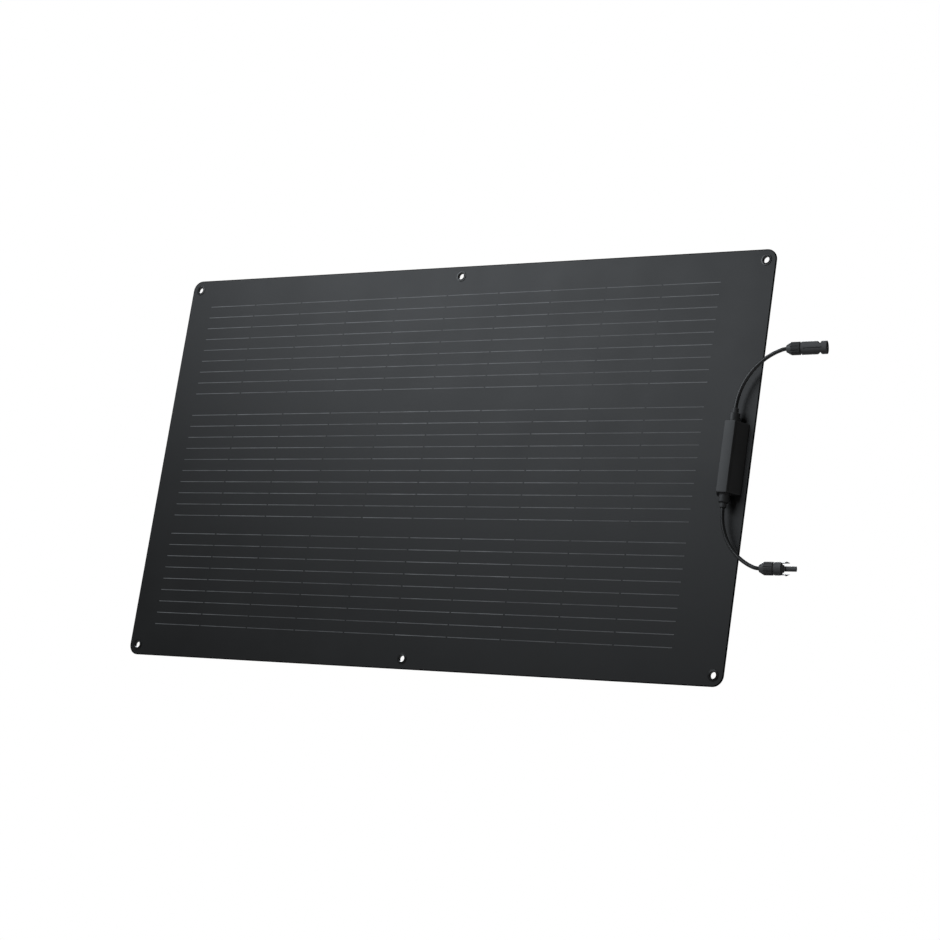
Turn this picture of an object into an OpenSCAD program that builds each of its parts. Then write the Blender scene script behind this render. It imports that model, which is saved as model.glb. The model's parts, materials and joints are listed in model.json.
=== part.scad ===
// Flexible solar sheet with a slim junction box and two cables with plug couplers.
//
// Frame: the origin is the centre of the rear face, +X runs along the sheet towards the
// junction box, +Z up its short side, and the cells face -Y. The sheet is cut into one
// strip per cell column, and neighbouring strips turn on the sheet's mid-plane.

/* [Sheet] */
// Length of the sheet
sheet_l = 1055; // [1052:1:1075]
// Height of the sheet
sheet_h = 612; // [610:1:640]
// Thickness of the laminate
sheet_t = 2.5; // [2.4:0.1:3]
// Thickness of the rear sheet
back_t = 1.5; // [1.2:0.1:1.6]
// Radius of the four corners
corner_r = 16; // [8:1:24]
// Gap between two strips where the sheet bends
bend_gap = 0.6; // [0.6:0.1:1]

/* [Cells] */
// Margin from the left edge to the first cell column
left_margin = 42.8; // [40:0.1:44]
// Distance from one cell column to the next
cell_pitch = 92.9; // [92.5:0.1:93.2]
// Width of a half cell, along the sheet
cell_w = 91; // [88:0.5:91]
// Height of a half cell
cell_h = 182; // [174:1:182]
// Size of the clipped corners of a cell
cell_clip = 4; // [2:0.5:8]
// Thickness of a cell
cell_t = 0.2; // [0.15:0.05:0.2]
// Width of a tinned ribbon
ribbon_w = 1.2; // [0.8:0.1:1.6]
// Thickness of a tinned ribbon
ribbon_t = 0.15; // [0.1:0.05:0.15]
// Distance from one ribbon to the next
ribbon_pitch = 18.1; // [17.5:0.1:18.1]

/* [Eyelets] */
// Distance of an eyelet's centre from the sheet's edges
eyelet_inset = 15.5; // [13:0.5:18]
// Diameter of the hole through an eyelet
eyelet_bore = 9.6; // [8:0.1:10]
// Diameter of an eyelet's flange and of its rear washer
eyelet_flange = 16.2; // [15:0.1:18]

/* [Junction box] */
// Distance from the sheet's right edge to the box's centre line
box_inset = 26.8; // [25:0.1:28]
// Height of the box's centre above the sheet's centre
box_z = 5; // [-40:1:40]
// Length of the box
box_l = 100; // [92:1:120]
// Width of the box on the sheet
box_base_w = 37.8; // [36:0.1:38]
// Width of the box's front face
box_face_w = 15.6; // [15.4:0.1:18]
// Depth of the box in front of the sheet
box_d = 22.5; // [22.5:0.5:26]
// Diameter of the cable outlets
outlet_d = 14.5; // [13:0.5:14.5]
// Length of the cable outlets
outlet_l = 12.5; // [10:0.5:16]
// Length of strain relief that stands out of an outlet
relief_l = 7; // [4:0.5:10]

/* [Cables] */
// Outside diameter of a cable
cable_d = 5.4; // [5:0.1:5.4]
// Diameter of the copper strand
strand_d = 2.4; // [2:0.1:2.4]
// Radius of the cable's long bend
bend_r = 85.4; // [80:0.1:92]
// Turn of the upper cable's long bend
upper_turn = 72.5; // [65:0.5:78]
// Turn of the lower cable's long bend
lower_turn = 70.5; // [65:0.5:78]
// Radius of the short bend behind the coupler
end_bend_r = 20; // [16:1:30]
// Angle that the couplers point behind the sheet's plane
coupler_yaw = 14; // [10:1:25]
// Angle that the pin coupler points up
pin_rise = 5; // [0:0.1:8]
// Angle that the socket coupler points up
socket_rise = 3.4; // [0:0.1:8]
// Turn of the couplers about their own axis
coupler_roll = 18; // [0:1:45]

/* [Hidden] */
$fn = 64;
eps = 0.01;
clearance = 0.05;          // radial running clearance
columns = 10;
root_strip = 6;            // the strip at the middle of the sheet, with the centre eyelets
row_z = [188.7, -0.5, -183.8];
row_ribbons = [9, 10, 9];

// Layers of the laminate, as distances in front of the rear face
cell_y = back_t + 0.02;
ribbon_y = cell_y + cell_t + 0.02;
pocket_y = ribbon_y + ribbon_t + 0.05;
pocket_gap = 0.3;          // room around a cell in its pocket
ribbon_end = 0.5;          // how far a ribbon stops short of its cell's edge

// Junction box
box_x = sheet_l / 2 - box_inset;
tape_t = 0.8;
box_wall = 2.2;
end_wall = 2.5;
lid_t = 3;
seal_t = 0.6;
lid_h = box_d - lid_t;     // height of the lid's underside above the sheet
rim_h = lid_h - seal_t;
lid_bevel = 0.8;
outlet_h = 11.6;           // height of the cable axis above the sheet
cable_y = -(sheet_t + outlet_h);
relief_r = 4.5;
tip_z = outlet_l + relief_l;
window = [16, 30];         // opening in the sheet and floor for the bus leads
lead_w = 5;
lead_t = 0.2;
clip_size = [8, 7, 10];    // a terminal clip
clip_z = 25;               // distance of a clip's centre from the box's centre

// Cables
cable_r = cable_d / 2;
strand_r = strand_d / 2;
turn_mid = 40;             // turn of the long bend where the cable is jointed
joint_gap = asin((cable_r + 0.15) / bend_r);
turn_lap = 0.4;            // how far a bent run reaches into a straight one
jacket_in_box = 12;        // jacket inside the box
strand_in_box = 20;        // copper inside the box

// Couplers, along their own +X from the cable's entry
nut_l = 18.6;
nut_r = 9.1;
nut_taper = 7;
nut_rear_r = 5;
spigot_r = 6.8;
thread_x = 9;              // where the nut's wide bore starts
body_x = 21;
body_r = 9;
seal_r = 5.5;
jacket_x = 13;             // end of the jacket inside a coupler
strand_x = 22;             // end of the copper inside a contact
crimp_x = 14;
contact_r = 2.2;
pin_body_l = 34.5;
pin_r = 1.5;
pin_shoulder_r = 1.9;      // the thicker length of the pin, in the chamber's floor
pin_shoulder_x = 34.3;
pin_tip_x = 49.5;
mouth_r = 7.6;
mouth_l = 4;
nose_r = 3.5;
collar_r = 5.3;
collar_x = [30, 33];
nose_end = 50;
ring_x = 36;               // the O-ring's place on the nose
ring_r = 0.5;
arm_w = 5.2;
arm_z = [6.9, 8.3];        // underside and top of a latch arm
arm_pivot = [28, 7.6];
arm_root_r = 0.7;          // half of the arm's thickness at its root
arm_end = 41;
barb_z = 9.4;

STRIPS = [for (k = [1 : columns]) k];

// ---------------------------------------------------------------- the laminated sheet

function bend_x(k) = left_margin + k * cell_pitch - sheet_l / 2;
function strip_x0(k) = k == 1 ? -sheet_l / 2 : bend_x(k - 1) + bend_gap / 2;
function strip_x1(k) = k == columns ? sheet_l / 2 : bend_x(k) - bend_gap / 2;
function column_x(k) = bend_x(k) - cell_pitch / 2;
function has_eyelets(k) = k == 1 || k == root_strip || k == columns;
function eyelet_x(k) = k == root_strip ? 0 : sign(k - root_strip) * (sheet_l / 2 - eyelet_inset);

// Draws a flat outline in the sheet's plane, from near to far in front of the rear face
module layer(near, far) {
    translate([0, -near, 0])
        rotate([90, 0, 0])
            linear_extrude(far - near)
                children();
}

module sheet_outline() {
    square([sheet_l - 2 * corner_r, sheet_h], center = true);
    square([sheet_l, sheet_h - 2 * corner_r], center = true);
    for (sx = [-1, 1], sz = [-1, 1])
        translate([sx * (sheet_l / 2 - corner_r), sz * (sheet_h / 2 - corner_r)])
            circle(corner_r);
}

module strip_band(k) {
    translate([strip_x0(k), -sheet_h / 2])
        square([strip_x1(k) - strip_x0(k), sheet_h]);
}

module strip_outline(k) {
    difference() {
        if (k == 1 || k == columns)
            intersection() {
                sheet_outline();
                strip_band(k);
            }
        else
            strip_band(k);
        if (has_eyelets(k))
            for (sz = [-1, 1])
                translate([eyelet_x(k), sz * (sheet_h / 2 - eyelet_inset)])
                    circle(eyelet_bore / 2 + 0.5 + clearance);
    }
}

// A half cell: two of its corners are clipped, on alternate sides from column to column
module cell_outline(k) {
    side = k % 2 == 0 ? 1 : -1;
    w = cell_w / 2;
    h = cell_h / 2;
    polygon([
        [-side * w, -h],
        [side * (w - cell_clip), -h],
        [side * w, -(h - cell_clip)],
        [side * w, h - cell_clip],
        [side * (w - cell_clip), h],
        [-side * w, h]
    ]);
}

// One flat lead per pole, from its row of cells to the window under the box
module lead_outline(side, extra) {
    x0 = column_x(columns) + cell_w / 2 + 8;
    z0 = box_z + side * 8;
    z1 = row_z[1 - side];
    w = lead_w / 2 + extra;
    translate([x0 - w, min(z0, z1) - w])
        square([2 * w, abs(z1 - z0) + 2 * w]);
    translate([x0 - w, z0 - w])
        square([box_x - x0 + 2 * w, 2 * w]);
}

module box_window(extra) {
    translate([box_x, box_z])
        square([window[0] + 2 * extra, window[1] + 2 * extra], center = true);
}

module front_film(k) {
    color([0.08, 0.08, 0.09, 0.6])
        difference() {
            layer(back_t, sheet_t) strip_outline(k);
            layer(back_t - 1, pocket_y)
                for (z = row_z)
                    translate([column_x(k), z])
                        square([cell_w + pocket_gap, cell_h + pocket_gap], center = true);
            if (k == columns) {
                layer(back_t - 1, pocket_y)
                    for (side = [-1, 1])
                        lead_outline(side, pocket_gap);
                layer(back_t - 1, sheet_t + 1) box_window(0);
            }
        }
}

module cell_strip(k) {
    for (row = [0 : len(row_z) - 1]) {
        translate([column_x(k), 0, row_z[row]]) {
            color([0.05, 0.05, 0.07])
                layer(cell_y, cell_y + cell_t) cell_outline(k);
            color([0.45, 0.46, 0.47])
                for (i = [0 : row_ribbons[row] - 1])
                    translate([0, 0, (i - (row_ribbons[row] - 1) / 2) * ribbon_pitch])
                        layer(ribbon_y, ribbon_y + ribbon_t)
                            square([cell_w - 2 * ribbon_end, ribbon_w], center = true);
        }
    }
}

module back_sheet(k) {
    color([0.12, 0.12, 0.13])
        layer(0, back_t) strip_outline(k);
}

// ---------------------------------------------------------------- eyelets

// Half section of the front part: barrel, rolled rim, flange, and the roll at the rear
module eyelet_section() {
    r = eyelet_bore / 2;
    wall = 0.5;
    rim = 0.7;
    flange_t = 0.7;
    translate([r, -1.3]) square([wall, sheet_t + 1.3 + flange_t]);
    translate([r, sheet_t]) square([eyelet_flange / 2 - r - flange_t / 2, flange_t]);
    translate([eyelet_flange / 2 - flange_t / 2, sheet_t + flange_t / 2]) circle(flange_t / 2);
    translate([r + rim, sheet_t + flange_t]) circle(rim);
    translate([r, -1.3]) square([1.3, 0.65]);
}

module washer_section() {
    r = eyelet_bore / 2 + 0.5 + clearance;
    translate([r, -0.6]) square([eyelet_flange / 2 - r, 0.6]);
}

module eyelets(k) {
    color([0.1, 0.1, 0.11])
        for (sz = [-1, 1])
            translate([eyelet_x(k), 0, sz * (sheet_h / 2 - eyelet_inset)])
                rotate([90, 0, 0]) {
                    rotate_extrude() eyelet_section();
                    rotate_extrude() washer_section();
                }
}

// ---------------------------------------------------------------- junction box

function box_half_w(h) = (box_base_w - (box_base_w - box_face_w) * h / box_d) / 2;

// A length of the box's tapered section between two heights above the sheet
module box_bar(h0, h1, length, inset = 0) {
    w0 = box_half_w(h0) - inset;
    w1 = box_half_w(h1) - inset;
    translate([box_x, -sheet_t, box_z])
        linear_extrude(length, center = true)
            polygon([[-w0, -h0], [w0, -h0], [w1, -h1], [-w1, -h1]]);
}

// Puts a piece in the frame of a cable outlet: its origin is on the box's end face, +Z
// points out along the cable, and the cable bends towards +X
module at_outlet(side) {
    translate([box_x, cable_y, box_z + side * box_l / 2])
        rotate([side > 0 ? 0 : 180, 0, 0])
            children();
}

module box_tape() {
    color([0.15, 0.15, 0.15])
        difference() {
            box_bar(eps, tape_t - eps, box_l - 3, 1.5);
            layer(0, sheet_t + box_d) box_window(0);
        }
}

module box_body() {
    color([0.16, 0.16, 0.17])
        difference() {
            union() {
                box_bar(tape_t, rim_h, box_l);
                for (side = [-1, 1])
                    at_outlet(side)
                        translate([0, 0, -end_wall])
                            cylinder(h = outlet_l + end_wall, d = outlet_d);
            }
            box_bar(tape_t + 2, rim_h + 1, box_l - 2 * end_wall, box_wall);
            layer(0, sheet_t + tape_t + 3) box_window(0);
            for (side = [-1, 1])
                at_outlet(side)
                    translate([0, 0, -end_wall - 1])
                        cylinder(h = outlet_l + end_wall + 2, r = relief_r + clearance);
        }
}

module lid_seal() {
    color([0.2, 0.2, 0.2])
        difference() {
            box_bar(rim_h + eps, lid_h - eps, box_l - 1, 0.4);
            box_bar(rim_h - 1, lid_h + 1, box_l - 2 * end_wall, box_wall - 0.1);
        }
}

module box_lid() {
    color([0.3, 0.3, 0.31]) {
        difference() {
            box_bar(lid_h, box_d, box_l + 1);
            for (sx = [-1, 1])
                translate([box_x + sx * box_half_w(box_d), -(sheet_t + box_d), box_z])
                    rotate([0, 0, 45])
                        cube([lid_bevel * sqrt(2), lid_bevel * sqrt(2), box_l + 4], center = true);
        }
        difference() {
            box_bar(rim_h - 1.2, lid_h + eps, box_l - 2 * end_wall - 0.4, box_wall + 0.3);
            box_bar(rim_h - 2, lid_h + eps, box_l - 2 * end_wall - 3.4, box_wall + 1.8);
        }
    }
}

module terminal_clips() {
    color([0.75, 0.72, 0.6])
        for (side = [-1, 1])
            translate([box_x, cable_y, box_z + side * clip_z])
                difference() {
                    cube(clip_size, center = true);
                    cylinder(h = clip_size[2] + 2, r = strand_r + clearance, center = true);
                }
}

module bypass_diode() {
    leg_l = 2 * clip_z - clip_size[2] - 0.2;
    translate([box_x, cable_y, box_z]) {
        color([0.1, 0.1, 0.1]) cylinder(h = 9.5, r = 2.7, center = true);
        color([0.8, 0.8, 0.8]) cylinder(h = leg_l, r = 0.6, center = true);
    }
}

// Each lead lies in the laminate, then stands up through the window to its clip
module bus_leads() {
    clip_foot_y = cable_y + clip_size[1] / 2 + 0.1;
    color([0.7, 0.7, 0.72])
        for (side = [-1, 1]) {
            riser_z = box_z + side * 8;
            layer(cell_y, cell_y + lead_t) lead_outline(side, 0);
            translate([box_x - 1.5, clip_foot_y, riser_z - lead_w / 2])
                cube([0.3, -cell_y - clip_foot_y, lead_w]);
            translate([box_x - 1.5, clip_foot_y, min(riser_z, box_z + side * clip_z)])
                cube([3, 0.3, abs(clip_z - 8)]);
        }
}

module strain_reliefs() {
    color([0.12, 0.12, 0.12])
        for (side = [-1, 1])
            at_outlet(side)
                translate([0, 0, -end_wall])
                    difference() {
                        cylinder(h = end_wall + tip_z, r = relief_r);
                        translate([0, 0, -1])
                            cylinder(h = end_wall + tip_z + 2, r = cable_r + clearance);
                    }
}

// ---------------------------------------------------------------- cables

function unit(v) = v / norm(v);

function coupler_rise(side) = side > 0 ? pin_rise : socket_rise;
// Direction of a coupler, in the frame of its cable's outlet
function coupler_dir(side) = [
    cos(coupler_rise(side)) * cos(coupler_yaw),
    side * cos(coupler_rise(side)) * sin(coupler_yaw),
    side * sin(coupler_rise(side))
];
function bend_point(turn) = [bend_r * (1 - cos(turn)), 0, tip_z + bend_r * sin(turn)];
function bend_dir(turn) = [sin(turn), 0, cos(turn)];
function turn_end(side) = side > 0 ? upper_turn : lower_turn;
function end_turn(side) = acos(bend_dir(turn_end(side)) * coupler_dir(side));
function end_bend_dir(side) =
    unit(coupler_dir(side) - cos(end_turn(side)) * bend_dir(turn_end(side)));
function entry_point(side) = bend_point(turn_end(side))
    + end_bend_r * (1 - cos(end_turn(side))) * end_bend_dir(side)
    + end_bend_r * sin(end_turn(side)) * bend_dir(turn_end(side));

// Cross-section of a cable's jacket, or of its strand where the bore's radius is 0. The
// bent runs are a hair thinner than the straight ones, so that they join inside them.
module cable_section(r, bore, bent) {
    trim = bent ? 0.02 : 0;
    difference() {
        circle(r - trim);
        if (bore > 0) circle(bore + trim);
    }
}

// Sweeps a cross-section along an arc that starts at the origin along +Z and bends
// towards +X, from one turn to another
module bent_run(arc_r, turn0, turn1) {
    translate([arc_r, 0, 0])
        rotate([90, 0, 0])
            rotate([0, 0, 180 - turn1])
                rotate_extrude(angle = turn1 - turn0)
                    translate([arc_r, 0])
                        children();
}

// Puts a piece where the short bend starts, with its +Z along the cable
module at_end_bend(side) {
    p = bend_point(turn_end(side));
    z = bend_dir(turn_end(side));
    x = end_bend_dir(side);
    y = cross(z, x);
    multmatrix([
        [x[0], y[0], z[0], p[0]],
        [x[1], y[1], z[1], p[1]],
        [x[2], y[2], z[2], p[2]],
        [0, 0, 0, 1]
    ])
        children();
}

// Puts a piece in a coupler's own frame, with +X along the coupler away from the cable
module at_coupler(side) {
    p = entry_point(side);
    translate([box_x + p[0], cable_y + side * p[1], box_z + side * (box_l / 2 + p[2])])
        rotate([0, -coupler_rise(side), coupler_yaw])
            rotate([coupler_roll, 0, 0])
                children();
}

// A bar along a coupler's +X
module coupler_bar(x0, x1, r) {
    translate([x0, 0, 0])
        rotate([0, 90, 0])
            cylinder(h = x1 - x0, r = r);
}

// The length of cable from the box to the joint in its long bend
module inner_run(side, r, bore, in_box, turn1) {
    at_outlet(side) {
        translate([0, 0, -in_box])
            linear_extrude(in_box + tip_z)
                cable_section(r, bore, false);
        translate([0, 0, tip_z])
            bent_run(bend_r, -turn_lap, turn1)
                cable_section(r, bore, true);
    }
}

// The length of cable from the joint into the coupler
module outer_run(side, r, bore, end_x) {
    at_outlet(side) {
        translate([0, 0, tip_z])
            bent_run(bend_r, turn_mid + joint_gap, turn_end(side))
                cable_section(r, bore, false);
        at_end_bend(side)
            bent_run(end_bend_r, -2 * turn_lap, end_turn(side) + 2 * turn_lap)
                cable_section(r, bore, true);
    }
    at_coupler(side)
        rotate([0, 90, 0])
            linear_extrude(end_x)
                cable_section(r, bore, false);
}

// The inner length ends in a ball on the joint, where the cable bends
module cable_inner(side) {
    color([0.1, 0.1, 0.1]) {
        inner_run(side, cable_r, strand_r + clearance, jacket_in_box, turn_mid - turn_lap);
        at_outlet(side)
            translate(bend_point(turn_mid))
                sphere(cable_r - 0.1);
    }
}

module cable_outer(side) {
    color([0.1, 0.1, 0.1])
        outer_run(side, cable_r, strand_r + clearance, jacket_x);
}

module strand_inner(side) {
    color([0.72, 0.45, 0.3])
        inner_run(side, strand_r, 0, strand_in_box, turn_mid - joint_gap);
}

module strand_outer(side) {
    color([0.72, 0.45, 0.3])
        outer_run(side, strand_r, 0, strand_x);
}

// ---------------------------------------------------------------- couplers

module cap_nut(side) {
    flutes = 10;
    color([0.14, 0.14, 0.15])
        at_coupler(side)
            difference() {
                union() {
                    rotate([0, 90, 0])
                        cylinder(h = nut_taper, r1 = nut_rear_r, r2 = nut_r);
                    coupler_bar(nut_taper, nut_l, nut_r);
                }
                coupler_bar(-1, nut_l + 1, cable_r + 0.15);
                coupler_bar(1.6, nut_l + 1, seal_r + clearance);
                coupler_bar(thread_x, nut_l + 1, spigot_r + clearance);
                for (i = [0 : flutes - 1])
                    rotate([360 / flutes * i, 0, 0])
                        translate([0, 0, nut_r + 0.5])
                            coupler_bar(3, nut_l - 1.2, 1.3);
            }
}

module cable_seal(side) {
    color([0.25, 0.25, 0.25])
        at_coupler(side)
            difference() {
                coupler_bar(1.8, thread_x - 0.1, seal_r);
                coupler_bar(0, thread_x + 1, cable_r + clearance);
            }
}

// The threaded spigot behind both housings, with the waist between nut and body
module spigot() {
    coupler_bar(thread_x + 0.1, body_x + eps, spigot_r);
    coupler_bar(nut_l + 0.3, body_x + eps, nut_r - 1.4);
}

// The stepped bore behind both housings for the jacket and the contact's crimp
module spigot_bore() {
    coupler_bar(thread_x - 1, jacket_x + 0.3, cable_r + 0.1);
    coupler_bar(jacket_x, body_x + 8, contact_r + clearance);
}

// The crimped rear of both contacts
module crimp_barrel(x1) {
    difference() {
        coupler_bar(crimp_x, x1, contact_r);
        coupler_bar(crimp_x - 1, strand_x + 0.2, strand_r + clearance);
    }
}

module pin_housing() {
    front = body_x + pin_body_l;
    notch_x = front - 11;
    notch_z = 6.2;
    groove_t = 0.9;
    groove_w = 2.2;
    color([0.17, 0.17, 0.18])
        at_coupler(1)
            difference() {
                union() {
                    spigot();
                    coupler_bar(body_x, front, body_r);
                }
                spigot_bore();
                coupler_bar(body_x + 13, front + 1, nose_r + 0.1);
                coupler_bar(body_x + 7, body_x + 14, pin_shoulder_r + clearance);
                coupler_bar(front - mouth_l, front + 1, mouth_r);
                for (sz = [-1, 1]) {
                    translate([notch_x - 1.5, -arm_w / 2 - 0.3, sz > 0 ? 5.7 : -8.4])
                        cube([front - notch_x + 3, arm_w + 0.6, 2.7]);
                    rotate([90, 0, 0])
                        linear_extrude(3 * body_r, center = true)
                            polygon([
                                [notch_x - 3, sz * (body_r + 1)],
                                [notch_x - 0.2, sz * notch_z],
                                [notch_x + 2.6, sz * notch_z],
                                [notch_x + 4.2, sz * (body_r + 1)]
                            ]);
                    translate([body_x + 3, sz * body_r - groove_t, -groove_w / 2])
                        cube([pin_body_l - 9, 2 * groove_t, groove_w]);
                }
            }
}

module pin_contact() {
    color([0.8, 0.8, 0.78])
        at_coupler(1) {
            crimp_barrel(body_x + 6.9);
            coupler_bar(body_x + 6, pin_shoulder_x, pin_shoulder_r);
            coupler_bar(pin_shoulder_x - 1, pin_tip_x - pin_r, pin_r);
            translate([pin_tip_x - pin_r, 0, 0]) sphere(pin_r);
        }
}

module socket_housing() {
    color([0.17, 0.17, 0.18])
        at_coupler(-1)
            difference() {
                union() {
                    spigot();
                    coupler_bar(body_x, collar_x[0], body_r);
                    coupler_bar(collar_x[0] - eps, collar_x[1], collar_r);
                    coupler_bar(collar_x[1] - eps, nose_end, nose_r);
                }
                spigot_bore();
                coupler_bar(body_x + 7, nose_end + 1, contact_r + clearance);
                difference() {
                    coupler_bar(ring_x - 0.8, ring_x + 0.8, nose_r + 1);
                    coupler_bar(ring_x - 1, ring_x + 1, nose_r - 0.75);
                }
                for (sz = [-1, 1]) {
                    translate([arm_pivot[0], -arm_w / 2 - 0.3, sz > 0 ? arm_z[0] - 0.5 : -10])
                        cube([3.6, arm_w + 0.6, 10.5 - arm_z[0]]);
                    translate([arm_pivot[0], 0, sz * arm_pivot[1]])
                        rotate([90, 0, 0])
                            cylinder(h = arm_w + 0.6, r = arm_root_r + clearance, center = true);
                }
            }
}

module socket_contact() {
    color([0.8, 0.8, 0.78])
        at_coupler(-1)
            difference() {
                crimp_barrel(nose_end - 1.5);
                coupler_bar(nose_end - 11.5, nose_end, pin_r + clearance);
            }
}

module nose_ring() {
    color([0.1, 0.1, 0.1])
        at_coupler(-1)
            translate([ring_x, 0, 0])
                rotate([0, 90, 0])
                    rotate_extrude()
                        translate([nose_r - 0.75 + ring_r + 0.02, 0])
                            circle(ring_r);
}

// A springy arm with a round root and a barbed end; side is 1 above the nose, -1 below
module latch_arm(side) {
    color([0.17, 0.17, 0.18])
        at_coupler(-1)
            rotate([side > 0 ? 0 : 180, 0, 0])
                rotate([90, 0, 0])
                    linear_extrude(arm_w, center = true) {
                        translate(arm_pivot) circle(arm_root_r);
                        polygon([
                            [arm_pivot[0], arm_z[0]],
                            [arm_end, arm_z[0] + 0.5],
                            [arm_end, arm_z[0] + 0.8],
                            [arm_end - 4.2, barb_z],
                            [arm_end - 5.4, barb_z],
                            [arm_end - 5.6, arm_z[1]],
                            [arm_pivot[0], arm_z[1]]
                        ]);
                    }
}

// ---------------------------------------------------------------- the assembly

for (k = STRIPS) {
    front_film(k);
    cell_strip(k);
    back_sheet(k);
}
eyelets(1);  // eyelets_left
eyelets(root_strip);  // eyelets_centre
eyelets(columns);  // eyelets_right
box_tape();
box_body();
box_lid();
lid_seal();
bypass_diode();
terminal_clips();
bus_leads();
strain_reliefs();
cable_inner(1);  // upper_cable_inner
cable_outer(1);  // upper_cable_outer
cable_inner(-1);  // lower_cable_inner
cable_outer(-1);  // lower_cable_outer
strand_inner(1);  // upper_strand_inner
strand_outer(1);  // upper_strand_outer
strand_inner(-1);  // lower_strand_inner
strand_outer(-1);  // lower_strand_outer
pin_housing();
pin_contact();
cap_nut(1);  // pin_cap_nut
cable_seal(1);  // pin_cable_seal
socket_housing();
socket_contact();
cap_nut(-1);  // socket_cap_nut
cable_seal(-1);  // socket_cable_seal
nose_ring();
latch_arm(1);  // latch_arm_upper
latch_arm(-1);  // latch_arm_lower
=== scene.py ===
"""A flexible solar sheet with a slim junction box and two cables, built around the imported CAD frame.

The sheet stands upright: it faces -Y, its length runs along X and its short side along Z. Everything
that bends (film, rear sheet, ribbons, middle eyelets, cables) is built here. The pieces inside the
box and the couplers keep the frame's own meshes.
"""

import json
import math
import random

import bmesh
import bpy
from mathutils import Matrix, Quaternion, Vector


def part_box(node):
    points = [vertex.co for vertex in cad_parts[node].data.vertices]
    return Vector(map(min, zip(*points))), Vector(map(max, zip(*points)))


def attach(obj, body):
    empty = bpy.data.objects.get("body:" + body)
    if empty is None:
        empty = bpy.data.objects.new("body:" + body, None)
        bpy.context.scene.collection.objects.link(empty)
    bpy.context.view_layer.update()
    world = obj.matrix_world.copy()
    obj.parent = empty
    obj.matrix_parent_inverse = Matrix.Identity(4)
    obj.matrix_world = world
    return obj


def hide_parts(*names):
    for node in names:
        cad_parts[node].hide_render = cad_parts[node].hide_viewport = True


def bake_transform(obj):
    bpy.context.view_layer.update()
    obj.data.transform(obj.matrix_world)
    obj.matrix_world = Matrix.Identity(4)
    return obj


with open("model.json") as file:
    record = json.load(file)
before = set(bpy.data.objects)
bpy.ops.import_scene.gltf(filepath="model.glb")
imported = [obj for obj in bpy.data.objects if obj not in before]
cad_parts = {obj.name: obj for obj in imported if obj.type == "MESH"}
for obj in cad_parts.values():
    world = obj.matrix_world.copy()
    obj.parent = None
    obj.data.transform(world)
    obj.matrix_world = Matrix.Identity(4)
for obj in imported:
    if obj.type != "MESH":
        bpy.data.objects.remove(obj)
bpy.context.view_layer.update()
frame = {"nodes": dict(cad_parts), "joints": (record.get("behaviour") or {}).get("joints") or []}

MM = 0.001
joints = {joint["name"]: joint for joint in frame["joints"]}


def pivot(joint):
    return Vector(joints[joint]["pos_m"])


# ------------------------------------------------------------------ mesh helpers

def add_piece(name, bm, material, smooth_angle=40):
    """Makes an object of a bmesh, smooth except over edges sharper than smooth_angle degrees."""
    bmesh.ops.remove_doubles(bm, verts=bm.verts, dist=1e-7)
    bmesh.ops.recalc_face_normals(bm, faces=bm.faces)
    mesh = bpy.data.meshes.new(name)
    bm.to_mesh(mesh)
    bm.free()
    mesh.shade_smooth()
    mesh.set_sharp_from_angle(angle=math.radians(smooth_angle))
    mesh.materials.append(material)
    piece = bpy.data.objects.new(name, mesh)
    bpy.context.scene.collection.objects.link(piece)
    return piece


def join_rings(bm, a, b):
    """Faces between two closed rings of the same number of vertices."""
    count = len(a)
    for i in range(count):
        j = (i + 1) % count
        bm.faces.new((a[i], a[j], b[j], b[i]))


def fill_rings(bm, rings):
    """One flat cap inside the first ring and outside the others."""
    edges = []
    for ring in rings:
        for i in range(len(ring)):
            edges.append(bm.edges.get((ring[i], ring[(i + 1) % len(ring)])))
    bmesh.ops.triangle_fill(bm, edges=edges, use_beauty=True)


def cut_across(bm, xs):
    """Adds an edge across the mesh at each x, so that it can bend there."""
    for x in xs:
        everything = bm.verts[:] + bm.edges[:] + bm.faces[:]
        bmesh.ops.bisect_plane(bm, geom=everything, dist=1e-8, plane_co=(x, 0, 0), plane_no=(1, 0, 0))


def arc(centre, radius, start, end, steps):
    """Points of an arc in a plane, with the angles in degrees."""
    angles = [math.radians(start + (end - start) * i / steps) for i in range(steps + 1)]
    return [(centre[0] + radius * math.cos(a), centre[1] + radius * math.sin(a)) for a in angles]


def revolve(bm, section, place, segments=56):
    """Turns a closed section of (radius, height) round the Z axis of the matrix place."""
    rings = []
    for radius, height in section:
        ring = []
        for i in range(segments):
            a = 2 * math.pi * i / segments
            point = Vector((radius * math.cos(a), radius * math.sin(a), height))
            ring.append(bm.verts.new(place @ point))
        rings.append(ring)
    for i in range(len(rings)):
        join_rings(bm, rings[i], rings[(i + 1) % len(rings)])


# ------------------------------------------------------------------ materials

ROUGH_DRIFT = 0.05         # how far the roughness drifts either way


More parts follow.
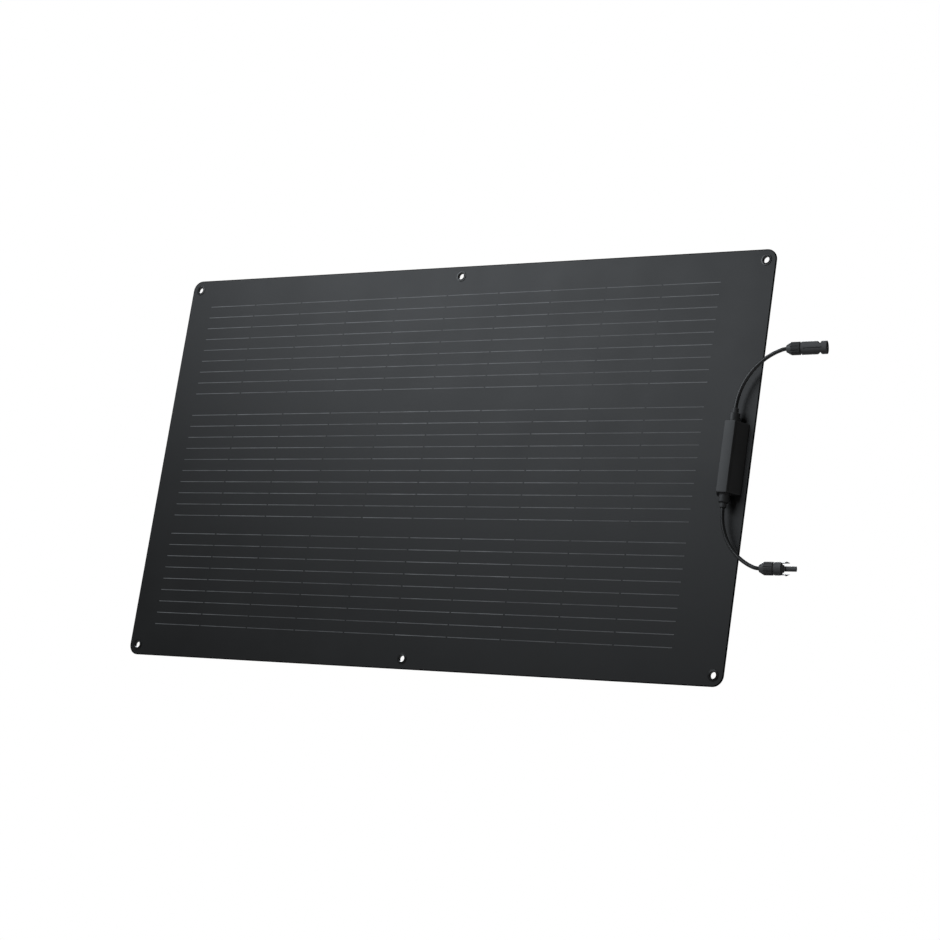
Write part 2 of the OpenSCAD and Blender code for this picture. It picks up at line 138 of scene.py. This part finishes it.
def material(name, dark, light, rough, patch, grain, bump, metallic=0.0, ior=1.46):
    """A procedural finish between two colours.

    Colour and roughness drift over patches of patch metres, and the bump has grains of grain metres.
    """
    mat = bpy.data.materials.new(name)
    mat.use_nodes = True
    nodes, links = mat.node_tree.nodes, mat.node_tree.links
    shader = nodes["Principled BSDF"]
    shader.inputs["Metallic"].default_value = metallic
    shader.inputs["IOR"].default_value = ior
    place = nodes.new("ShaderNodeTexCoord")
    drift = nodes.new("ShaderNodeTexNoise")
    drift.inputs["Scale"].default_value = 1 / patch
    drift.inputs["Detail"].default_value = 4
    colours = nodes.new("ShaderNodeValToRGB")
    colours.color_ramp.elements[0].position = 0.3
    colours.color_ramp.elements[0].color = (*dark, 1)
    colours.color_ramp.elements[1].position = 0.7
    colours.color_ramp.elements[1].color = (*light, 1)
    roughness = nodes.new("ShaderNodeMapRange")
    roughness.inputs["To Min"].default_value = rough - ROUGH_DRIFT
    roughness.inputs["To Max"].default_value = rough + ROUGH_DRIFT
    grains = nodes.new("ShaderNodeTexNoise")
    grains.inputs["Scale"].default_value = 1 / grain
    grains.inputs["Detail"].default_value = 2
    relief = nodes.new("ShaderNodeBump")
    relief.inputs["Strength"].default_value = bump
    relief.inputs["Distance"].default_value = grain / 4
    links.new(place.outputs["Object"], drift.inputs["Vector"])
    links.new(place.outputs["Object"], grains.inputs["Vector"])
    links.new(drift.outputs["Fac"], colours.inputs["Fac"])
    links.new(drift.outputs["Fac"], roughness.inputs["Value"])
    links.new(grains.outputs["Fac"], relief.inputs["Height"])
    links.new(colours.outputs["Color"], shader.inputs["Base Color"])
    links.new(roughness.outputs["Result"], shader.inputs["Roughness"])
    links.new(relief.outputs["Normal"], shader.inputs["Normal"])
    return mat


def grey(value, blue=1.04):
    """A grey that leans a little towards blue."""
    return (value, value * (1 + blue) / 2, value * blue)


FILM = material("film", grey(0.007), grey(0.010), 0.50, 0.09, 1.3 * MM, 0.12)
CUT_EDGE = material("cut_edge", grey(0.003), grey(0.005), 0.85, 0.02, 0.6 * MM, 0.3, ior=1.2)
REAR = material("rear_sheet", grey(0.012), grey(0.018), 0.62, 0.05, 0.9 * MM, 0.35)
EYELET = material("eyelet", grey(0.008), grey(0.014), 0.32, 0.006, 0.6 * MM, 0.08)
BOX = material("box", grey(0.060), grey(0.070), 0.50, 0.02, 0.5 * MM, 0.18)
LID = material("lid", grey(0.060), grey(0.070), 0.48, 0.02, 0.5 * MM, 0.18)
RELIEF = material("relief", grey(0.070), grey(0.085), 0.55, 0.01, 0.4 * MM, 0.15)
JACKET = material("jacket", grey(0.030), grey(0.040), 0.32, 0.03, 0.5 * MM, 0.10)
COUPLER = material("coupler", grey(0.190), grey(0.225), 0.42, 0.012, 0.4 * MM, 0.12)
NUT = material("nut", grey(0.110), grey(0.130), 0.46, 0.012, 0.4 * MM, 0.12)
SEAL = material("seal", grey(0.030), grey(0.045), 0.70, 0.01, 0.3 * MM, 0.2)
FOAM = material("foam", grey(0.012), grey(0.020), 0.90, 0.004, 0.4 * MM, 0.5)
DIODE = material("diode", grey(0.015), grey(0.025), 0.45, 0.004, 0.3 * MM, 0.2)
RING = material("ring", grey(0.006), grey(0.010), 0.55, 0.004, 0.3 * MM, 0.1)
TINNED = material("tinned", grey(0.50), grey(0.62), 0.32, 0.004, 0.3 * MM, 0.1, metallic=1.0)
COPPER = material("copper", (0.45, 0.17, 0.08), (0.60, 0.25, 0.12), 0.35, 0.003, 0.2 * MM, 0.2, metallic=1.0)


def ribbon_material():
    """Dull grey ribbon behind the film: each cell's ribbons have their own tone."""
    mat = material("ribbon", grey(0.12), grey(0.22), 0.5, 0.03, 0.8 * MM, 0.05)
    nodes, links = mat.node_tree.nodes, mat.node_tree.links
    tone = nodes.new("ShaderNodeAttribute")
    tone.attribute_name = "tone"
    tinted = nodes.new("ShaderNodeVectorMath")
    tinted.operation = "SCALE"
    links.new(nodes["Color Ramp"].outputs["Color"], tinted.inputs[0])
    links.new(tone.outputs["Fac"], tinted.inputs["Scale"])
    links.new(tinted.outputs["Vector"], nodes["Principled BSDF"].inputs["Base Color"])
    return mat


RIBBON = ribbon_material()


# ------------------------------------------------------------------ the sheet

COLUMNS = len([n for n in frame["nodes"] if n.startswith("back_sheet_")])
MID_SPAN = COLUMNS // 2    # the span that holds the eyelets at the middle of the long edges
CORNER_R = 16 * MM
CORNER_STEPS = 14
HOLE_R = 5.35 * MM         # hole in the laminate round an eyelet
HOLE_STEPS = 40
SHEET_SMOOTH = 50          # edges sharper than this many degrees stay sharp, on sheet and eyelets
CUTS_PER_STRIP = 10
TONGUE = 1.5 * MM          # how far a span reaches into the next one, below its surface
SEAM = 1e-6                # a vertex nearer than this to a span's end lies on the seam

sheet_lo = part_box("back_sheet_1")[0]
sheet_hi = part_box(f"back_sheet_{COLUMNS}")[1]
front_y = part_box("front_film_2")[0].y
split_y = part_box("back_sheet_2")[0].y
half_h = sheet_hi.z
bends = [pivot(f"sheet_bend_{k}") for k in range(1, COLUMNS)]
pitch = bends[1].x - bends[0].x


def span_x(k):
    """A span runs from one strip's centre to the next one's, and the end spans to the sheet's ends."""
    x0 = sheet_lo.x if k == 1 else bends[k - 1].x - pitch / 2
    x1 = sheet_hi.x if k == COLUMNS - 1 else bends[k - 1].x + pitch / 2
    return x0, x1


def span_cuts(k):
    """Where a span gets an edge across it, so that it can bend."""
    x0, x1 = span_x(k)
    step = pitch / CUTS_PER_STRIP
    first = bends[k - 1].x - pitch / 2
    places = [first + step * i for i in range(-CUTS_PER_STRIP, 2 * CUTS_PER_STRIP)]
    return [x for x in places if x0 + step / 4 < x < x1 - step / 4]


def bend_span(piece):
    """Bakes the placement of a piece of span k into its mesh."""
    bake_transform(piece)


def span_outline(k, inset, reach):
    """Outline of a span: rounded at the sheet's corners, square where it meets its neighbours."""
    x0, x1 = span_x(k)
    h = half_h - inset
    if k == COLUMNS - 1:
        cx, cz, r = x1 - CORNER_R, half_h - CORNER_R, CORNER_R - inset
        right = arc((cx, -cz), r, -90, 0, CORNER_STEPS) + arc((cx, cz), r, 0, 90, CORNER_STEPS)
    else:
        right = [(x1 + reach, -h), (x1 + reach, h)]
    if k == 1:
        cx, cz, r = x0 + CORNER_R, half_h - CORNER_R, CORNER_R - inset
        left = arc((cx, cz), r, 90, 180, CORNER_STEPS) + arc((cx, -cz), r, 180, 270, CORNER_STEPS)
    else:
        left = [(x0, h), (x0, -h)]
    return right + left


def on_seam(k, points):
    """Whether all the points lie where span k meets a neighbour."""
    x0, x1 = span_x(k)
    left = k > 1 and all(point.x < x0 + SEAM for point in points)
    right = k < COLUMNS - 1 and all(point.x > x1 - SEAM for point in points)
    return left or right


def slab(name, k, holes, profile, mat):
    """A closed layer of the sheet. The profile is (inset, y, reach) from front to rear.

    The sheet's outline is a cut edge. Where a span meets its neighbour its own edges stay sharp, so
    that the flat faces shade evenly up to the seam.
    """
    bm = bmesh.new()
    fronts, rears = [], []
    for hole in (None, *holes):
        rings = []
        for inset, y, reach in profile:
            if hole is None:
                loop = span_outline(k, inset, reach)
            else:
                loop = arc(hole, HOLE_R, 360, 360 / HOLE_STEPS, HOLE_STEPS - 1)
            rings.append([bm.verts.new((x, y, z)) for x, z in loop])
        for a, b in zip(rings, rings[1:]):
            join_rings(bm, a, b)
        fronts.append(rings[0])
        rears.append(rings[-1])
    fill_rings(bm, fronts)
    fill_rings(bm, rears)
    cut_across(bm, span_cuts(k))
    for face in bm.faces:
        flat = len({round(v.co.y, 7) for v in face.verts}) == 1
        seam = on_seam(k, [v.co for v in face.verts])
        face.material_index = 0 if flat or seam else 1
    layer = add_piece(name, bm, mat, SHEET_SMOOTH)
    layer.data.materials.append(CUT_EDGE)
    corners = layer.data.vertices
    for edge in layer.data.edges:
        if on_seam(k, [corners[i].co for i in edge.vertices]):
            edge.use_edge_sharp = True
    return layer


EYELET_SPANS = {1: "left", MID_SPAN: "centre", COLUMNS - 1: "right"}


def eyelet_places():
    """(x, z, span) of each eyelet."""
    places = []
    for k, column in EYELET_SPANS.items():
        lo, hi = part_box(f"eyelets_{column}")
        x = (lo.x + hi.x) / 2
        z = hi.z - (hi.x - lo.x) / 2
        places += [(x, z, k), (x, -z, k)]
    return places


def build_layers():
    film_profile = [
        (1.60 * MM, front_y, 0), (1.30 * MM, front_y, 0), (0.70 * MM, front_y + 0.06 * MM, 0),
        (0.25 * MM, front_y + 0.2 * MM, 0), (0, front_y + 0.5 * MM, 0),
        (0, front_y + 0.5 * MM, TONGUE), (0, split_y - 0.1 * MM, TONGUE),
        (0, split_y - 0.1 * MM, 0), (0, split_y, 0),
    ]
    rear_profile = [
        (0, split_y, 0), (0, split_y + 0.2 * MM, 0), (0, split_y + 0.2 * MM, TONGUE),
        (0, -0.5 * MM, TONGUE), (0, -0.5 * MM, 0), (0.08 * MM, -0.2 * MM, 0), (0.35 * MM, 0, 0),
        (0.6 * MM, 0, 0),
    ]
    for k in range(1, COLUMNS):
        holes = [(x, z) for x, z, span in eyelet_places() if span == k]
        film = slab(f"film_span_{k}", k, holes, film_profile, FILM)
        rear = slab(f"rear_span_{k}", k, holes, rear_profile, REAR)
        film_nodes = [f"front_film_{k}"] + ([f"front_film_{COLUMNS}"] if k == COLUMNS - 1 else [])
        rear_nodes = [f"back_sheet_{k}"] + ([f"back_sheet_{COLUMNS}"] if k == COLUMNS - 1 else [])
        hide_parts(*film_nodes)
        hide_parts(*rear_nodes)
        bend_span(film)
        bend_span(rear)


# ------------------------------------------------------------------ ribbons

RIBBON_ROWS = ((188.7 * MM, 9), (-0.5 * MM, 10), (-183.8 * MM, 9))
RIBBON_PITCH = 18.1 * MM
RIBBON_W = 1.1 * MM
RIBBON_PROUD = 0.03 * MM
RIBBON_SUNK = 0.1 * MM
RIBBON_GAP = 1.45 * MM      # from the middle between two columns to a ribbon's end
RIBBON_REACH = 1.6 * MM     # how far the last column's ribbons reach past their cells


def bar(bm, x0, x1, z, tone_layer, tone):
    """One length of ribbon, sunk in the film's face."""
    ys = (front_y - RIBBON_PROUD, front_y + RIBBON_SUNK)
    zs = (z - RIBBON_W / 2, z + RIBBON_W / 2)
    corner = {}
    for i, x in enumerate((x0, x1)):
        for j, y in enumerate(ys):
            for m, height in enumerate(zs):
                corner[i, j, m] = bm.verts.new((x, y, height))
                corner[i, j, m][tone_layer] = tone
    for axis in range(3):
        for side in (0, 1):
            ring = [(0, 0), (0, 1), (1, 1), (1, 0)]
            keys = [r[:axis] + (side,) + r[axis:] for r in ring]
            bm.faces.new([corner[key] for key in keys])


def build_ribbons():
    """Every cell's ribbons have their own tone, and each line differs a little."""
    draw = random.Random(7)
    tones = {}
    for column in range(1, COLUMNS + 1):
        for row in range(len(RIBBON_ROWS)):
            tones[column, row] = draw.uniform(0.72, 1.2)
    for k in range(1, COLUMNS):
        x0, x1 = span_x(k)
        middle = bends[k - 1].x
        reach = RIBBON_REACH if k == COLUMNS - 1 else 0
        first = max(x0, middle - pitch + RIBBON_GAP)
        last = min(x1, middle + pitch - RIBBON_GAP + reach)
        bm = bmesh.new()
        tone_layer = bm.verts.layers.float.new("tone")
        for row, (centre, count) in enumerate(RIBBON_ROWS):
            for i in range(count):
                z = centre + (i - (count - 1) / 2) * RIBBON_PITCH
                line = draw.uniform(0.85, 1.1)
                bar(bm, first, middle - RIBBON_GAP, z, tone_layer, tones[k, row] * line)
                bar(bm, middle + RIBBON_GAP, last, z, tone_layer, tones[k + 1, row] * line)
        cut_across(bm, span_cuts(k))
        ribbons = add_piece(f"ribbons_span_{k}", bm, RIBBON)
        cells = [f"cell_strip_{k}"] + ([f"cell_strip_{COLUMNS}"] if k == COLUMNS - 1 else [])
        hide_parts(*cells)
        bend_span(ribbons)


# ------------------------------------------------------------------ eyelets

def eyelet_section():
    """Closed section of the front part, as (radius, height in front of the rear face)."""
    top = -front_y
    bore = 4.8 * MM
    flange = 8.1 * MM
    roll = 0.75 * MM
    rim = 0.42 * MM
    points = arc((bore + roll, top + 0.65 * MM), roll, 180, 0, 10)
    points += [(bore + 2 * roll + 0.25 * MM, top + 0.5 * MM)]
    points += arc((flange - rim, top + rim), rim, 80, -80, 6)
    points += [(5.3 * MM, top), (5.3 * MM, -0.62 * MM)]
    points += arc((5.5 * MM, -0.66 * MM), 0.64 * MM, 0, -90, 5)
    points += [(bore + 0.2 * MM, -1.2 * MM), (bore, -1.0 * MM)]
    return points


def build_eyelets():
    washer = [(5.36 * MM, -0.02 * MM), (5.36 * MM, -0.6 * MM), (7.9 * MM, -0.6 * MM),
              (8.1 * MM, -0.4 * MM), (8.1 * MM, -0.02 * MM)]
    for x, z, k in eyelet_places():
        column = EYELET_SPANS[k]
        place = Matrix.Translation((x, 0, z)) @ Matrix.Rotation(math.radians(90), 4, "X")
        level = "top" if z > 0 else "bottom"
        for part, section in (("eyelet", eyelet_section()), ("washer", washer)):
            bm = bmesh.new()
            revolve(bm, section, place)
            piece = add_piece(f"{part}_{column}_{level}", bm, EYELET, SHEET_SMOOTH)
            if part == "eyelet":
                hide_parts(f"eyelets_{column}")
            if k == MID_SPAN:
                bend_span(piece)
            else:
                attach(piece, "sheet_1" if k == 1 else f"sheet_{COLUMNS}")


# ------------------------------------------------------------------ junction box

lid_lo, lid_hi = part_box("box_lid")
body_lo, body_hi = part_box("box_body")
box_centre = (lid_lo + lid_hi) / 2
box_x, box_z = box_centre.x, box_centre.z
BODY_L = 100 * MM
body_half_w = (body_hi.x - body_lo.x) / 2
lid_half_w = (lid_hi.x - lid_lo.x) / 2
LID_T = 3 * MM
lid_under_y = lid_lo.y + LID_T
side_slope = (body_half_w - lid_half_w) / (body_hi.y - lid_under_y)


def half_width(y):
    """Half of the box's width at a depth: its sides slope towards the lid."""
    return body_half_w - side_slope * (body_hi.y - y)


def rounded_loop(half_w, half_l, radius, steps=6):
    loop = []
    for sx, sz, start in ((1, 1, 0), (-1, 1, 90), (-1, -1, 180), (1, -1, 270)):
        centre = (box_x + sx * (half_w - radius), box_z + sz * (half_l - radius))
        loop += arc(centre, radius, start, start + 90, steps)
    return loop


def stacked(name, layers, mat):
    """A closed solid of rounded loops, each (half width, half length, radius, y)."""
    bm = bmesh.new()
    rings = []
    for half_w, half_l, radius, y in layers:
        rings.append([bm.verts.new((x, y, z)) for x, z in rounded_loop(half_w, half_l, radius)])
    for a, b in zip(rings, rings[1:]):
        join_rings(bm, a, b)
    fill_rings(bm, [rings[0]])
    fill_rings(bm, [rings[-1]])
    return add_piece(name, bm, mat, 35)


def build_box():
    half_l = BODY_L / 2
    wall = 2.2 * MM
    base, rim = body_hi.y, lid_under_y + 0.6 * MM
    tray = [
        (half_width(base), half_l, 2 * MM, base),
        (half_width(rim) + 0.15 * MM, half_l - 0.1 * MM, 2 * MM, rim + 0.5 * MM),
        (half_width(rim) - 0.25 * MM, half_l - 0.4 * MM, 1.8 * MM, rim),
        (half_width(rim) - wall, half_l - 2.5 * MM, 0.8 * MM, rim),
        (half_width(base) - wall, half_l - 2.5 * MM, 0.8 * MM, base - 2 * MM),
    ]
    shell = stacked("box_shell", tray, BOX)
    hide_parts("box_body")
    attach(shell, f"sheet_{COLUMNS}")

    front = lid_lo.y
    lid_half_l = (lid_hi.z - lid_lo.z) / 2
    edge = 0.9 * MM
    plate = [
        (half_width(lid_under_y), lid_half_l, 2 * MM, lid_under_y),
        (half_width(front + edge), lid_half_l, 2 * MM, front + edge),
    ]
    for i in range(1, 5):
        turn = math.radians(90 * i / 4)
        inset = edge * (1 - math.cos(turn))
        y = front + edge * (1 - math.sin(turn))
        plate.append((half_width(front + edge) - inset, lid_half_l - inset, 2 * MM - inset / 2, y))
    lid = stacked("box_cover", plate, LID)
    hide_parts("box_lid")
    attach(lid, f"sheet_{COLUMNS}")


def build_outlets():
    """On each end of the box a round outlet, with the strain relief that stands out of it."""
    wall = 2.5 * MM
    fit = 0.05 * MM
    outlet_l = (body_hi.z - body_lo.z - BODY_L) / 2
    outlet_r = 7.25 * MM
    relief_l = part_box("strain_reliefs")[1].z - box_z - BODY_L / 2
    relief_r = 4.5 * MM
    bore = 2.75 * MM
    outlet_round = 1.2 * MM
    relief_round = 0.9 * MM
    foot_r = outlet_r + 0.5 * MM
    outlet = [(relief_r + fit, -wall), (foot_r, -wall), (foot_r, 0.6 * MM)]
    outlet += [(outlet_r + 0.1 * MM, 1.0 * MM), (outlet_r, 1.6 * MM)]
    outlet += arc((outlet_r - outlet_round, outlet_l - outlet_round), outlet_round, 0, 90, 6)
    outlet += [(relief_r + fit, outlet_l)]
    relief = [(bore, -wall), (relief_r, -wall)]
    relief += arc((relief_r - relief_round, relief_l - relief_round), relief_round, 0, 90, 5)
    relief += [(bore, relief_l)]
    for side, label in ((1, "upper"), (-1, "lower")):
        outlet_y = pivot(f"{label}_cable_swing").y
        place = Matrix.Translation((box_x, outlet_y, box_z + side * BODY_L / 2))
        if side < 0:
            place = place @ Matrix.Rotation(math.pi, 4, "X")
        parts = (("outlet", outlet, BOX, "box"), ("relief", relief, RELIEF, "relief"))
        for part, section, mat, slot in parts:
            bm = bmesh.new()
            revolve(bm, section, place)
            piece = add_piece(f"{label}_{part}", bm, mat)
            if part == "relief":
                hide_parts("strain_reliefs")
            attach(piece, f"sheet_{COLUMNS}")


# ------------------------------------------------------------------ cables

NUT_JOINTS = {"upper": "pin_nut_turn", "lower": "socket_nut_turn"}
MID_TURN = math.radians(40)      # turn of the long bend at the cable's joint
LONG_TURN = {"upper": math.radians(72.5), "lower": math.radians(70.5)}    # turn of the long bend
LONG_STEPS = 28
END_BEND_R = 20 * MM             # short bend behind the coupler
END_STEPS = 12
JACKET_R = 2.7 * MM
JACKET_BORE_R = 1.25 * MM
STRAND_R = 1.2 * MM


def cable_path(label, into_box, into_coupler):
    """Centre line from inside the box to inside the coupler: straight, two arcs, straight."""
    side = 1 if label == "upper" else -1
    outlet = pivot(f"{label}_cable_swing")
    out = Vector((0, 0, side))
    across = Vector((1, 0, 0))
    middle = pivot(f"{label}_cable_bend")
    entry = pivot(NUT_JOINTS[label])
    axis = Vector(joints[NUT_JOINTS[label]]["axis"])
    radius = (middle.x - outlet.x) / (1 - math.cos(MID_TURN))
    start = outlet + out * (abs(middle.z - outlet.z) - radius * math.sin(MID_TURN))
    points = [outlet - out * into_box]
    points += [outlet + (start - outlet) * i / 8 for i in range(8)]
    long_turn = LONG_TURN[label]
    for i in range(LONG_STEPS + 1):
        turn = long_turn * i / LONG_STEPS
        points.append(start + across * radius * (1 - math.cos(turn)) + out * radius * math.sin(turn))
    heading = across * math.sin(long_turn) + out * math.cos(long_turn)
    last = points[-1]
    end_turn = heading.angle(axis)
    inward = (axis - heading * math.cos(end_turn)).normalized()
    for i in range(1, END_STEPS + 1):
        turn = end_turn * i / END_STEPS
        step = inward * (1 - math.cos(turn)) + heading * math.sin(turn)
        points.append(last + step * END_BEND_R)
    points += [entry + axis * into_coupler * i / 3 for i in range(1, 4)]
    return points


def sweep(name, points, outer, bore, mat, segments=28):
    """A round bar along the points, hollow when it has a bore."""
    bm = bmesh.new()
    tangents = []
    for i in range(len(points)):
        tangents.append((points[min(i + 1, len(points) - 1)] - points[max(i - 1, 0)]).normalized())
    side = Vector((0, 1, 0))
    shells = {radius: [] for radius in (outer, bore) if radius > 0}
    for point, tangent in zip(points, tangents):
        side = (side - tangent * side.dot(tangent)).normalized()
        other = tangent.cross(side)
        for radius in shells:
            ring = []
            for i in range(segments):
                a = 2 * math.pi * i / segments
                ring.append(bm.verts.new(point + (side * math.cos(a) + other * math.sin(a)) * radius))
            shells[radius].append(ring)
    for rings in shells.values():
        for a, b in zip(rings, rings[1:]):
            join_rings(bm, a, b)
    for end in (0, -1):
        if bore > 0:
            join_rings(bm, shells[outer][end], shells[bore][end])
        else:
            fill_rings(bm, [shells[outer][end]])
    return add_piece(name, bm, mat)


def build_cables():
    for label, side in (("upper", 1), ("lower", -1)):
        jacket_path = cable_path(label, 12 * MM, 13 * MM)
        strand_path = cable_path(label, 20 * MM, 22 * MM)
        jacket = sweep(f"{label}_jacket", jacket_path, JACKET_R, JACKET_BORE_R, JACKET)
        strand = sweep(f"{label}_strand", strand_path, STRAND_R, 0, COPPER)
        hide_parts(f"{label}_cable_inner", f"{label}_cable_outer")
        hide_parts(f"{label}_strand_inner", f"{label}_strand_outer")
        for piece in (jacket, strand):
            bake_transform(piece)


# ------------------------------------------------------------------ the frame's own pieces

def finish_frame_pieces():
    finishes = {
        "box_tape": FOAM, "lid_seal": SEAL, "bypass_diode": DIODE, "terminal_clips": TINNED,
        "bus_leads": TINNED, "pin_housing": COUPLER, "pin_contact": TINNED, "pin_cap_nut": NUT,
        "pin_cable_seal": SEAL, "socket_housing": COUPLER, "socket_contact": TINNED,
        "socket_cap_nut": NUT, "socket_cable_seal": SEAL, "nose_ring": RING,
        "latch_arm_upper": COUPLER, "latch_arm_lower": COUPLER,
    }
    for node, mat in finishes.items():
        mesh = frame["nodes"][node].data
        mesh.materials.clear()
        mesh.materials.append(mat)


# ------------------------------------------------------------------ light, floor, camera

LAMP_COLOUR = (0.94, 1.0, 1.06)
FLOOR_Z = -1.05
FLOOR_HALF = 20                  # half of the floor's side
FLOOR_GLOW = 0.75                # light of its own that the camera sees
FLOOR_SHEEN = 0.3                # how bright the floor is in a reflection
FLOOR_BOUNCE = 0.05              # albedo of the floor where it lights the sheet
CAMERA_ROLL = math.radians(8.67)


def area_light(name, at, towards, size, watts):
    light = bpy.data.lights.new(name, "AREA")
    light.shape = "RECTANGLE"
    light.size, light.size_y = size
    light.energy = watts
    light.color = LAMP_COLOUR
    lamp = bpy.data.objects.new(name, light)
    lamp.location = at
    lamp.rotation_mode = "QUATERNION"
    lamp.rotation_quaternion = (Vector(towards) - Vector(at)).to_track_quat("-Z", "Y")
    bpy.context.scene.collection.objects.link(lamp)


def build_world():
    """A white studio to the camera, a dimmer one in reflections."""
    world = bpy.data.worlds.new("studio")
    bpy.context.scene.world = world
    world.use_nodes = True
    nodes, links = world.node_tree.nodes, world.node_tree.links
    nodes.clear()
    rays = nodes.new("ShaderNodeLightPath")
    levels = {"camera": 1.0, "glossy": 0.06, "diffuse": 0.14}
    shades = {}
    for kind, strength in levels.items():
        shades[kind] = nodes.new("ShaderNodeBackground")
        shades[kind].inputs["Strength"].default_value = strength
    lit = nodes.new("ShaderNodeMixShader")
    seen = nodes.new("ShaderNodeMixShader")
    out = nodes.new("ShaderNodeOutputWorld")
    for kind in levels:
        shades[kind].inputs["Color"].default_value = (1, 1, 1, 1)
    links.new(rays.outputs["Is Glossy Ray"], lit.inputs[0])
    links.new(shades["diffuse"].outputs[0], lit.inputs[1])
    links.new(shades["glossy"].outputs[0], lit.inputs[2])
    links.new(rays.outputs["Is Camera Ray"], seen.inputs[0])
    links.new(lit.outputs[0], seen.inputs[1])
    links.new(shades["camera"].outputs[0], seen.inputs[2])
    links.new(seen.outputs[0], out.inputs["Surface"])


def build_floor():
    """A floor that is pale to the camera, dimmer in reflections, and lights the sheet only a little."""
    bm = bmesh.new()
    place = Matrix.Translation((0, 0, FLOOR_Z))
    bmesh.ops.create_grid(bm, x_segments=8, y_segments=8, size=FLOOR_HALF, matrix=place)
    pale = material("floor", (0.80, 0.80, 0.80), (0.83, 0.83, 0.83), 0.9, 0.5, 0.01, 0.02)
    nodes, links = pale.node_tree.nodes, pale.node_tree.links
    rays = nodes.new("ShaderNodeLightPath")
    dim = nodes.new("ShaderNodeBsdfDiffuse")
    dim.inputs["Color"].default_value = (FLOOR_BOUNCE, FLOOR_BOUNCE, FLOOR_BOUNCE, 1)
    glow = nodes.new("ShaderNodeEmission")
    glow.inputs["Strength"].default_value = FLOOR_GLOW
    lit = nodes.new("ShaderNodeAddShader")
    sheen = nodes.new("ShaderNodeEmission")
    level = nodes.new("ShaderNodeMath")
    level.operation = "MULTIPLY"
    level.inputs[1].default_value = FLOOR_SHEEN
    indirect = nodes.new("ShaderNodeAddShader")
    seen = nodes.new("ShaderNodeMixShader")
    links.new(nodes["Principled BSDF"].outputs[0], lit.inputs[0])
    links.new(glow.outputs[0], lit.inputs[1])
    links.new(rays.outputs["Is Glossy Ray"], level.inputs[0])
    links.new(level.outputs[0], sheen.inputs["Strength"])
    links.new(dim.outputs[0], indirect.inputs[0])
    links.new(sheen.outputs[0], indirect.inputs[1])
    links.new(rays.outputs["Is Camera Ray"], seen.inputs[0])
    links.new(indirect.outputs[0], seen.inputs[1])
    links.new(lit.outputs[0], seen.inputs[2])
    links.new(seen.outputs[0], nodes["Material Output"].inputs["Surface"])
    add_piece("floor", bm, pale)


def build_camera():
    """The camera stands low in front of the box's end and looks up, rolled a little."""
    camera = bpy.data.cameras.new("camera")
    camera.lens = 94.68
    camera.clip_start, camera.clip_end = 0.05, 100
    camera.shift_x, camera.shift_y = -0.00115, 0.0009
    holder = bpy.data.objects.new("camera", camera)
    at = Vector((2.1172, -2.8490, -0.7705))
    looks_at = Vector((0.0697, 0, -0.0094))
    aim = (looks_at - at).to_track_quat("-Z", "Y")
    holder.location = at
    holder.rotation_mode = "QUATERNION"
    holder.rotation_quaternion = aim @ Quaternion((0, 0, 1), CAMERA_ROLL)
    bpy.context.scene.collection.objects.link(holder)
    bpy.context.scene.camera = holder


build_layers()
build_ribbons()
build_eyelets()
build_box()
build_outlets()
build_cables()
finish_frame_pieces()
build_world()
build_floor()
build_camera()
area_light("key", (-0.64, -1.20, 0.73), (0, 0, 0.1), (1.4, 0.7), 13.3)
area_light("rear_fill", (-1.5, 2.4, 1.2), (0, 0, 0), (1.6, 1.6), 60)
bpy.context.scene.view_settings.view_transform = "Standard"
